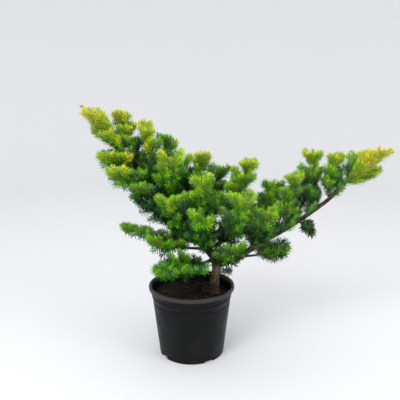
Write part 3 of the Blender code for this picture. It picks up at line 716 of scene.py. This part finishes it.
# Fir bark: dark brown plates with darker cracks some three millimetres apart, and a thin grey bloom
# in patches 20 mm across. It is matt, and rough to the eye.
fir_bark, tree, shader = new_finish("rough fir bark", "#5b4736", 0.9, 0.25)
places = add_node(tree, "ShaderNodeTexCoord", {}, {}).outputs["Object"]
upright = add_node(tree, "ShaderNodeMapping", {}, {"Vector": places, "Scale": (1.0, 1.0, 0.45)})
crack_size = {"Vector": upright.outputs["Vector"], "Scale": BARK_CRACKS, "Detail": 6}
cracks = add_node(tree, "ShaderNodeTexNoise", {}, crack_size).outputs["Fac"]
bloom_size = {"Vector": places, "Scale": BLOOM_PATCHES, "Detail": 3}
bloom = add_node(tree, "ShaderNodeTexNoise", {}, bloom_size).outputs["Fac"]
barks = add_node(tree, "ShaderNodeValToRGB", {}, {"Fac": cracks})
barks.color_ramp.elements[0].position = 0.34
barks.color_ramp.elements[0].color = linear("#150f0b")
barks.color_ramp.elements[1].position = 0.66
barks.color_ramp.elements[1].color = linear("#58432f")
bloom_range = {"Value": bloom, "From Min": 0.45, "From Max": 0.75}
bloomed = add_node(tree, "ShaderNodeMapRange", {}, bloom_range).outputs["Result"]
greyed = add_node(tree, "ShaderNodeMath", {"operation": "MULTIPLY"}, {0: bloomed, 1: 0.55})
grey_mix = add_node(tree, "ShaderNodeMix", {"data_type": "RGBA"}, {"Factor": greyed.outputs[0]})
tree.links.new(barks.outputs["Color"], grey_mix.inputs[MIX_A])
grey_mix.inputs[MIX_B].default_value = linear("#a39a88")
tree.links.new(grey_mix.outputs[MIX_RESULT], shader.inputs["Base Color"])
bump = add_node(tree, "ShaderNodeBump", {}, {"Height": cracks, "Strength": 0.7, "Distance": 0.0015})
tree.links.new(bump.outputs["Normal"], shader.inputs["Normal"])

trunk_line = smooth_line(TRUNK_LINE, TRUNK_STEPS)
arm_line = smooth_line(ARM_LINE, ARM_STEPS)
fine_trunk = even_line(smooth_line(TRUNK_LINE, BARK_STEPS), BARK_STEP)
fine_trunk = fine_trunk[fine_trunk[:, 2] > SOIL_TOP - TRUNK_SUNK]
trunk_parts = tube(fine_trunk, trunk_radii(fine_trunk), TRUNK_SIDES, bark_relief)
trunk = new_object("trunk_bark", mesh_of("trunk bark", *trunk_parts, smooth=True), fir_bark)
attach(trunk, "root")
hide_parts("trunk")

fine_arm = even_line(smooth_line(ARM_LINE, BARK_STEPS), BARK_STEP)
arm_parts = tube(fine_arm, arm_radii(fine_arm), ARM_SIDES, bark_relief)
arm = new_object("right_bough_bark", mesh_of("right bough bark", *arm_parts, smooth=True), fir_bark)
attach(arm, "root")
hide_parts("bough_right")


def limb_lines():
    """For each limb, the bare bough's points and the points of the stem of its mass."""
    boughs, stems = {}, {}
    for limb in LIMBS:
        root = along(trunk_line if limb.carrier == "trunk" else arm_line, limb.place)[0]
        line = sweep(root, limb.heading, limb.rise, limb.reach, limb.curl, LIMB_STEPS)
        first = round(limb.bare / limb.reach * LIMB_STEPS)
        if limb.bare:
            boughs[limb.name] = line[: first + 1]
        stems[limb.name] = line[first:]
    return boughs, stems


boughs, stems = limb_lines()
reaches = {limb.name: limb.reach for limb in LIMBS}
bough_parts = []
for name, line in boughs.items():
    fine = even_line(line, BARK_STEP)
    radii = [limb_radius(reaches[name], far) for far in marks_of(fine)]
    bough_parts.append(tube(fine, radii, BOUGH_SIDES, bark_relief))
bough_mesh = mesh_of("small boughs bark", *joined(bough_parts), smooth=True)
small_boughs = new_object("small_boughs_bark", bough_mesh, fir_bark)
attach(small_boughs, "root")
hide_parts(*["bough_" + name for name in boughs])


# Shoots
# Each mass is a stem with whorls of side shoots, and the longer side shoots fork again. Short shoots
# fill the stems, the trunk and the right bough between them. Past their roots, all keep to the space
# nearest their own stem and clear of the limbs. Their bark is young, thin and tan.

FIRST_WHORL = 0.08
FIRST_WHORL_ON_TRUNK = 0.28
LAST_WHORL = 0.80
LAST_WHORL_OF_LEADER = 0.62
WHORL_SHIFT = 0.08
STEM_ENDS = (0.03, 0.93)
TOP_SHOOT_SHARE = 0.4
# A spread, roll, draw, share or length of two numbers is the least value and what chance adds
SHOOT_SPREAD = (40, 18)
SHOOT_ROLL = (60, 40)
TOP_SHOOT_ROLL = 50
SHOOT_CURL = 18
SHOOT_LENGTH_TAPER = (1.2, 0.6)
SHOOT_LENGTH_DRAW = (0.82, 0.33)
SHOOT_STEPS = 3
SHOOT_TRIES = (1.0, 0.8, 0.62, 0.45)
TESTED_SHARES = np.linspace(0.25, 1.0, 10)
SHOOT_ROOM = 0.0024
LIMB_ROOM = 0.0034
POT_CLEAR_RADIUS = 0.125
POT_CLEAR_HEIGHT = 0.200
# Finer twigs: where they leave a side shoot, and how long they are next to it
TWIG_PLACES = (0.30, 0.55, 0.78)
TWIG_SHIFT = 0.1
TWIG_SHARE = 0.72
TWIG_LENGTH_TAPER = 1.3
TWIG_ROLL = (70, 30)
TWIG_SPREAD = (48, 10)
LONG_ENOUGH = 0.020
# Short shoots fill the inside of a mass: metres of stem for each, and their length next to the
# length of the mass's side shoots
FILL_STEP = 0.0034
FILL_SHARE = (0.40, 0.40)
FILL_FROM = 0.02
FILL_TO = 0.86
FILL_TO_ON_LEADER = 0.50
# Short shoots straight on the trunk and on the right bough, above these shares of their length
LIMB_FILL_FROM = (0.17, 0.22)
# The right bough is bare below, so a shoot on it points no lower than this
LOWEST_AIM = (-1.0, -0.05)
LIMB_FILL_STEP = 0.0030
LIMB_FILL_LENGTH = (0.026, 0.024)
LIMB_FILL_TO = 0.99
LIMB_FILL_ROOM = 0.004
# Such a shoot starts inside the bark, at a share of the radius, and belongs to the mass that is
# nearest this far ahead
ROOTED_AT = 0.8
LOOK_AHEAD = 0.02
FIRST_SPRAY_SEED = 1000
LIMB_FILL_SEED = 77
SHOOT_RADIUS = 0.0013
TWIG_RADIUS = 0.0009
SHOOT_TIP_RADIUS = 0.0007
SHOOT_SIDES = 6
NEARLY_UPRIGHT = 1e-3


def distance_to_segments(p, starts, ends):
    spans = ends - starts
    share = np.einsum("ij,ij->i", p - starts, spans) / np.einsum("ij,ij->i", spans, spans)
    nearest = starts + np.clip(share, 0, 1)[:, None] * spans
    return np.linalg.norm(nearest - p, axis=1)


class Crown:
    """The room each mass has: nearer to its own stem than to any other, and clear of every limb."""

    def __init__(self, stems, limbs):
        self.names = list(stems)
        self.starts = np.vstack([stems[n][:-1] for n in self.names])
        self.ends = np.vstack([stems[n][1:] for n in self.names])
        self.owner = np.concatenate([[i] * (len(stems[n]) - 1) for i, n in enumerate(self.names)])
        self.limb_starts = np.vstack([line[:-1] for line, radii in limbs])
        self.limb_ends = np.vstack([line[1:] for line, radii in limbs])
        self.limb_radii = np.concatenate([np.maximum(r[:-1], r[1:]) for line, r in limbs])

    def inside(self, mass, p, room):
        distances = distance_to_segments(p, self.starts, self.ends)
        own = self.owner == self.names.index(mass)
        return distances[~own].min() - distances[own].min() > room

    def clear(self, p, room):
        limb = (distance_to_segments(p, self.limb_starts, self.limb_ends) - self.limb_radii).min()
        over_pot = p[2] < POT_CLEAR_HEIGHT and math.hypot(p[0], p[1]) < POT_CLEAR_RADIUS
        return limb > room and not over_pot


def side_axes(way):
    """The level direction across a stem and the one square to both."""
    across = np.cross(way, (0.0, 0.0, 1.0))
    if np.linalg.norm(across) < NEARLY_UPRIGHT:
        across = np.array([0.0, 1.0, 0.0])
    across /= np.linalg.norm(across)
    return across, np.cross(across, way)


def shoot_fits(line, mass, crown):
    if not all(crown.inside(mass, p, SHOOT_ROOM) for p in line[1:]):
        return False
    return all(crown.clear(along(line, share)[0], LIMB_ROOM) for share in TESTED_SHARES)


def shoot_line(root, aim, length):
    heading = math.degrees(math.atan2(aim[1], aim[0]))
    rise = math.degrees(math.asin(aim[2]))
    return sweep(root, heading, rise, length, SHOOT_CURL, SHOOT_STEPS)


def grown_shoot(root, aim, length, mass, crown):
    """The longest try that fits, or nothing."""
    for part in SHOOT_TRIES:
        line = shoot_line(root, aim, length * part)
        if shoot_fits(line, mass, crown):
            return line
    return None


def drawn(span, chances):
    """The least value and a random part of what chance adds."""
    return span[0] + span[1] * chances.rand()


def length_at(share):
    """How long a side shoot is here, next to the mass's own figure: less and less towards the tip."""
    return SHOOT_LENGTH_TAPER[0] - SHOOT_LENGTH_TAPER[1] * share


def aim_at(way, roll, spread):
    """The direction that leaves a stem by this spread, on the side that the roll gives, in degrees."""
    across, up = side_axes(way)
    roll, spread = math.radians(roll), math.radians(spread)
    outward = math.cos(roll) * up + math.sin(roll) * across
    return math.cos(spread) * way + math.sin(spread) * outward


def random_aim(way, chances):
    """A direction somewhere round a stem, leaning on along it."""
    roll = 360 * chances.rand()
    return aim_at(way, roll, drawn(SHOOT_SPREAD, chances))


def side_shoots(limb, stem, crown):
    """Whorls of left, right and sometimes top shoots."""
    chances = np.random.RandomState(limb.seed)
    is_leader = limb.place == 1.0
    first = FIRST_WHORL if limb.bare or is_leader else FIRST_WHORL_ON_TRUNK
    last = LAST_WHORL_OF_LEADER if is_leader else LAST_WHORL
    found = []
    for whorl in range(limb.whorls):
        share = first + (last - first) * whorl / max(limb.whorls - 1, 1)
        for turn in (-1, 1, 0):
            skipped = chances.rand() < 1 - TOP_SHOOT_SHARE
            chance = chances.rand(5)
            if turn == 0 and skipped:
                continue
            shifted = share + (chance[0] - 0.5) * WHORL_SHIFT
            root, way = along(stem, min(max(shifted, STEM_ENDS[0]), STEM_ENDS[1]))
            if turn:
                roll = turn * (SHOOT_ROLL[0] + SHOOT_ROLL[1] * chance[1])
            else:
                roll = TOP_SHOOT_ROLL * (chance[1] - 0.5)
            aim = aim_at(way, roll, SHOOT_SPREAD[0] + SHOOT_SPREAD[1] * chance[2])
            length = limb.side * length_at(share)
            length *= SHOOT_LENGTH_DRAW[0] + SHOOT_LENGTH_DRAW[1] * chance[3]
            line = grown_shoot(root, aim, length, limb.name, crown)
            if line is not None:
                found.append(line)
    return found


def finer_twigs(mass, line, crown, chances):
    """Twigs that fork left and right from one side shoot."""
    length = marks_of(line)[-1]
    twigs = []
    if length < LONG_ENOUGH:
        return twigs
    for place in TWIG_PLACES:
        for turn in (-1, 1):
            root, way = along(line, place + TWIG_SHIFT * (chances.rand() - 0.5))
            roll = turn * drawn(TWIG_ROLL, chances)
            aim = aim_at(way, roll, drawn(TWIG_SPREAD, chances))
            twig_length = length * TWIG_SHARE * (TWIG_LENGTH_TAPER - place)
            twig = grown_shoot(root, aim, twig_length, mass, crown)
            if twig is not None:
                twigs.append(twig)
    return twigs


def filling_shoots(limb, stem, crown, chances):
    """Short shoots all round a mass's stem."""
    last = FILL_TO_ON_LEADER if limb.place == 1.0 else FILL_TO
    found = []
    for i in range(int(marks_of(stem)[-1] / FILL_STEP)):
        share = FILL_FROM + (last - FILL_FROM) * chances.rand()
        root, way = along(stem, share)
        length = limb.side * drawn(FILL_SHARE, chances) * length_at(share)
        line = grown_shoot(root, random_aim(way, chances), length, limb.name, crown)
        if line is not None:
            found.append(line)
    return found


def nearest_mass(p, stems):
    return min(stems, key=lambda name: distance_to_segments(p, stems[name][:-1], stems[name][1:]).min())


def limb_shoots(line, radii, first, lowest, crown, stems, chances):
    """Short shoots on a bare limb: (nearest mass, line), each in that mass's room."""
    found = []
    marks = marks_of(line)
    for i in range(int(marks[-1] * (1 - first) / LIMB_FILL_STEP)):
        share = first + (LIMB_FILL_TO - first) * chances.rand()
        root, way = along(line, share)
        aim = random_aim(way, chances)
        outward = aim - way * (aim @ way)
        if outward[2] < lowest:
            continue
        root = root + ROOTED_AT * np.interp(share * marks[-1], marks, radii) * outward
        mass = nearest_mass(root + LOOK_AHEAD * aim, stems)
        shoot = shoot_line(root, aim, drawn(LIMB_FILL_LENGTH, chances))
        if all(crown.inside(mass, p, 0.0) and crown.clear(p, LIMB_FILL_ROOM) for p in shoot[2:]):
            found.append((mass, shoot))
    return found


limbs = [(trunk_line, trunk_radii(trunk_line)), (arm_line, arm_radii(arm_line))]
for name, line in boughs.items():
    limbs.append((line, np.array([limb_radius(reaches[name], far) for far in marks_of(line)])))
crown = Crown(stems, limbs)

# For each mass: (line, first radius, last radius, whether it is the stem)
sprays = {}
for limb in LIMBS:
    stem = stems[limb.name]
    chances = np.random.RandomState(FIRST_SPRAY_SEED + limb.seed)
    root_radius = limb_radius(limb.reach, limb.reach - marks_of(stem)[-1])
    found = [(stem, root_radius, LIMB_TIP_RADIUS, True)]
    for line in side_shoots(limb, stem, crown):
        found.append((line, SHOOT_RADIUS, SHOOT_TIP_RADIUS, False))
        for twig in finer_twigs(limb.name, line, crown, chances):
            found.append((twig, TWIG_RADIUS, SHOOT_TIP_RADIUS, False))
    for line in filling_shoots(limb, stem, crown, chances):
        found.append((line, TWIG_RADIUS, SHOOT_TIP_RADIUS, False))
    sprays[limb.name] = found
chances = np.random.RandomState(LIMB_FILL_SEED)
for (line, radii), first, lowest in zip(limbs, LIMB_FILL_FROM, LOWEST_AIM):
    for name, shoot in limb_shoots(line, radii, first, lowest, crown, stems, chances):
        sprays[name].append((shoot, TWIG_RADIUS, SHOOT_TIP_RADIUS, False))

# Young fir bark: smooth, thin, matt and tan. It is too thin a line in the render for a pattern.
young_bark = new_finish("young fir bark", "#8a6a3c", 0.8, 0.25)[0]
stem_parts = []
for found in sprays.values():
    for line, first_radius, last_radius, is_stem in found:
        radii = np.linspace(first_radius, last_radius, len(line))
        stem_parts.append(tube(line, radii, SHOOT_SIDES))
shoot_mesh = mesh_of("shoot bark", *joined(stem_parts), smooth=True)
shoot_bark = new_object("shoot_bark", shoot_mesh, young_bark)
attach(shoot_bark, "root")


# Buds
# A resinous bud, red-brown and a little glossy, ends most of the stems and shoots. It grows on the
# tip itself, and is larger on a stem.

BUD_LENGTH = 0.0045
BUD_ENDS = (-0.2, 0.9)
BUD_SHAPE = (0.5, 0.95, 1.0, 0.7, 0.2)
BUD_RADIUS = 0.0013
BUD_SIDES = 6
STEM_BUD_SIZE = 1.5
BUDLESS_SHARE = 0.3

bud_scales = new_finish("resinous bud scales", "#8a4b1e", 0.35, 0.6)[0]
bud_parts = []
for found in sprays.values():
    for line, first_radius, last_radius, is_stem in found:
        if draw.rand() < BUDLESS_SHARE:
            continue
        way = line[-1] - line[-2]
        way /= np.linalg.norm(way)
        size = STEM_BUD_SIZE if is_stem else 1.0
        steps = np.linspace(*BUD_ENDS, len(BUD_SHAPE))
        bud = np.array([line[-1] + way * BUD_LENGTH * size * step for step in steps])
        bud_parts.append(tube(bud, BUD_RADIUS * size * np.array(BUD_SHAPE), BUD_SIDES))
bud_mesh = mesh_of("winter buds", *joined(bud_parts), smooth=True)
buds = new_object("winter_buds", bud_mesh, bud_scales)
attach(buds, "root")


# Needles
# Flat needles up to 18 mm long and some 2.3 mm wide, greyer beneath than above, set all round the
# shoot and turned up. They run from gold through lime to deep green. Which of these colours a spray
# takes is painted light and shade: the fewer tips stand between it and the key light, the lighter it
# is. Each spray takes a colour of its own, a shade darker at its foot.

# In both pairs, the least value and what chance adds
NEEDLE_LENGTH = (0.0135, 0.0045)
NEEDLE_WIDTH = 0.0023
WIDTH_DRAW = (0.85, 0.3)
NEEDLE_KEEL = 0.0005
NEEDLE_SPACING = 0.00084
FEWEST_NEEDLES = 6
GOLDEN_ANGLE = 2.39996
TURN_DRAW = 0.5
SPREAD_AT_FOOT = 62
SPREAD_LOST_AT_TIP = 26
SPREAD_DRAW = 12
SHORTER_AT_TIP = 0.3
LIFT = 0.20
# The upper side faces up, a little forward and a little at random
FACE_FORWARD = 0.45
FACE_UP = 0.8
FACE_DRAW = 0.5
# Shares of the width and of the length
FOOT_HALF_WIDTH = 0.3
WIDEST_AT = 0.72
MIDDLE_ARCH = 0.04
TIP_ARCH = 0.10
FIRST_NEEDLE_SEED = 7000
UP = np.array([0.0, 0.0, 1.0])
# Not quite upright, so that it is never in line with a shoot
LEAN = (0.02, 0.03, 1.0)

# Upper side, under side, from the most sunlit to the most shaded: steps of painted light and shade
NEEDLE_COLOURS = (
    ("golden new needles in painted light", "#e6dc14", "#cfd45e"),
    ("yellow-lime needles", "#b4dc10", "#adc850"),
    ("lime needles", "#7cc80c", "#93bc50"),
    ("bright green needles", "#4ba310", "#86ad70"),
    ("mid green needles", "#256e18", "#6b9472"),
    ("deep green needles", "#0f3d1a", "#47664e"),
)
# Fir needles: a waxy skin with a soft shine above, and matt bands of pale pores beneath
upper_finishes = [new_finish(name, upper, 0.5, 0.2)[0] for name, upper, under in NEEDLE_COLOURS]
under_finishes = [
    new_finish("underside of " + name, under, 0.7, 0.1)[0] for name, upper, under in NEEDLE_COLOURS
]
DARKEST = len(NEEDLE_COLOURS) - 1
# Corners of a needle: left, right and keel at the foot, the same at the widest place, and the tip
NEEDLE_FACES = np.array([
    (0, 1, 4), (0, 4, 3), (3, 4, 6),
    (0, 3, 5), (0, 5, 2), (1, 2, 5), (1, 5, 4), (3, 6, 5), (4, 5, 6), (0, 2, 1),
])
NEEDLE_CORNERS = 7
UPPER_FACES = 3


def unit(vectors):
    return vectors / np.linalg.norm(vectors, axis=1)[:, None]


def needles_on(line, chances):
    """Points of all the needles on one shoot, seven each, and how far along the shoot each stands."""
    marks = marks_of(line)
    count = max(FEWEST_NEEDLES, int(marks[-1] / NEEDLE_SPACING))
    share = (np.arange(count) + chances.rand(count)) / count
    far = share * marks[-1]
    roots = np.column_stack([np.interp(far, marks, line[:, i]) for i in range(3)])
    ways = np.gradient(line, axis=0)
    way = unit(np.column_stack([np.interp(far, marks, ways[:, i]) for i in range(3)]))
    level = unit(np.cross(way, LEAN))
    up = np.cross(level, way)
    turn = GOLDEN_ANGLE * np.arange(count) + TURN_DRAW * chances.rand(count)
    out = np.cos(turn)[:, None] * up + np.sin(turn)[:, None] * level
    spread = SPREAD_AT_FOOT - SPREAD_LOST_AT_TIP * share**3 + SPREAD_DRAW * (chances.rand(count) - 0.5)
    spread = np.radians(spread)[:, None]
    needle = unit(np.cos(spread) * way + np.sin(spread) * out + LIFT * UP)
    face = FACE_FORWARD * way + FACE_UP * UP + FACE_DRAW * (chances.rand(count, 3) - 0.5)
    face = unit(face - needle * np.einsum("ij,ij->i", face, needle)[:, None])
    side = np.cross(needle, face)
    length = NEEDLE_LENGTH[0] + NEEDLE_LENGTH[1] * chances.rand(count)
    length = (length * (1 - SHORTER_AT_TIP * share**4))[:, None]
    width = NEEDLE_WIDTH * (WIDTH_DRAW[0] + WIDTH_DRAW[1] * chances.rand(count))[:, None]
    middle = roots + WIDEST_AT * length * needle + MIDDLE_ARCH * length * face
    points = np.stack([
        roots - FOOT_HALF_WIDTH * width * side,
        roots + FOOT_HALF_WIDTH * width * side,
        roots - NEEDLE_KEEL * face,
        middle - 0.5 * width * side,
        middle + 0.5 * width * side,
        middle - NEEDLE_KEEL * face,
        roots + length * needle + TIP_ARCH * length * face,
    ], axis=1)
    return points.reshape(-1, 3), share


all_tips = np.array([line[-1] for found in sprays.values() for line, first, last, is_stem in found])
LIGHT_WAY = np.array([-0.25, -0.55, 0.80])
LIGHT_WAY /= np.linalg.norm(LIGHT_WAY)
# A tip counts as shading when it is this near and this well in line with the light
SHADE_REACH = 0.07
SHADE_LINE = 0.5
# Added to a distance that is divided by, because a tip is no distance from itself
NEVER_ZERO = 1e-9
SHADE_PER_TIP = 0.066
OPEN_SHADE = 1.35
SHADE_DRAW = 1.6
# Gold is for the highest tips and for the end of the right arm
GOLD_HEIGHT = 0.47
GOLD_PER_METRE = 9
RIGHT_GOLD = 1.5
RIGHT_GOLD_FROM = 0.41
# Low sprays are painted darker, as shade low in the crown, and more mixed
LOW_HEIGHT = 0.36
SHADE_PER_LOW_METRE = 14
DRAW_PER_LOW_METRE = 9
# Masses with side shoots shorter than this are old thin sprays, dull all over
OLD_SIDE = 0.030
OLD_SHADE = 2.2
# The brightest shade that a gold, a high and a low spray may take, and the gold that makes one gold
BRIGHTEST = (0.0, 1.3, 2.0)
LEAST_GOLD = 0.2
# How much darker the foot of a spray is than its tip, and where its own shade is
FOOT_DARKER = 1.6
OWN_SHADE_AT = 0.65


def shade_of(tip, side, chances):
    """Which colour a spray takes, from 0, the most sunlit, to the darkest.

    What counts is how many other shoot tips stand between this one and the light, how high or low
    its tip is, whether it ends the right arm, whether its mass is old and thin, and chance."""
    away = all_tips - tip
    far = np.linalg.norm(away, axis=1) + NEVER_ZERO
    toward = away @ LIGHT_WAY / far
    covered = np.sum((far < SHADE_REACH) & (toward > SHADE_LINE))
    gold = max(0.0, tip[2] - GOLD_HEIGHT) * GOLD_PER_METRE
    if tip[0] > RIGHT_GOLD_FROM:
        gold += RIGHT_GOLD
    lowness = max(0.0, LOW_HEIGHT - tip[2])
    shade = OPEN_SHADE + SHADE_PER_TIP * covered + SHADE_PER_LOW_METRE * lowness - gold
    if side < OLD_SIDE:
        shade += OLD_SHADE
    shade += (SHADE_DRAW + DRAW_PER_LOW_METRE * lowness) * (chances.rand() - 0.5)
    if gold > LEAST_GOLD:
        brightest = BRIGHTEST[0]
    else:
        brightest = BRIGHTEST[1] if tip[2] > LOW_HEIGHT else BRIGHTEST[2]
    return np.clip(shade, brightest, DARKEST)


for limb in LIMBS:
    chances = np.random.RandomState(FIRST_NEEDLE_SEED + limb.seed)
    points, shades = [], []
    for line, first_radius, last_radius, is_stem in sprays[limb.name]:
        found, share = needles_on(line, chances)
        shade = shade_of(line[-1], limb.side, chances) + FOOT_DARKER * (OWN_SHADE_AT - share)
        points.append(found)
        shades.append(np.clip(np.round(shade), 0, DARKEST).astype(int))
    shade = np.concatenate(shades)
    starts = NEEDLE_CORNERS * np.arange(len(shade))[:, None, None]
    faces = (NEEDLE_FACES[None] + starts).reshape(-1, 3)
    used, upper = np.unique(shade, return_inverse=True)
    finish_index = np.repeat(upper[:, None], len(NEEDLE_FACES), axis=1)
    finish_index[:, UPPER_FACES:] += len(used)
    finishes = [upper_finishes[i] for i in used] + [under_finishes[i] for i in used]
    mesh = mesh_of("needles " + limb.name, np.vstack(points), faces, finish_index.ravel())
    needles = new_object("spray_" + limb.name, mesh, *finishes)
    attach(needles, "root")
    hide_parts("needles_" + limb.name)
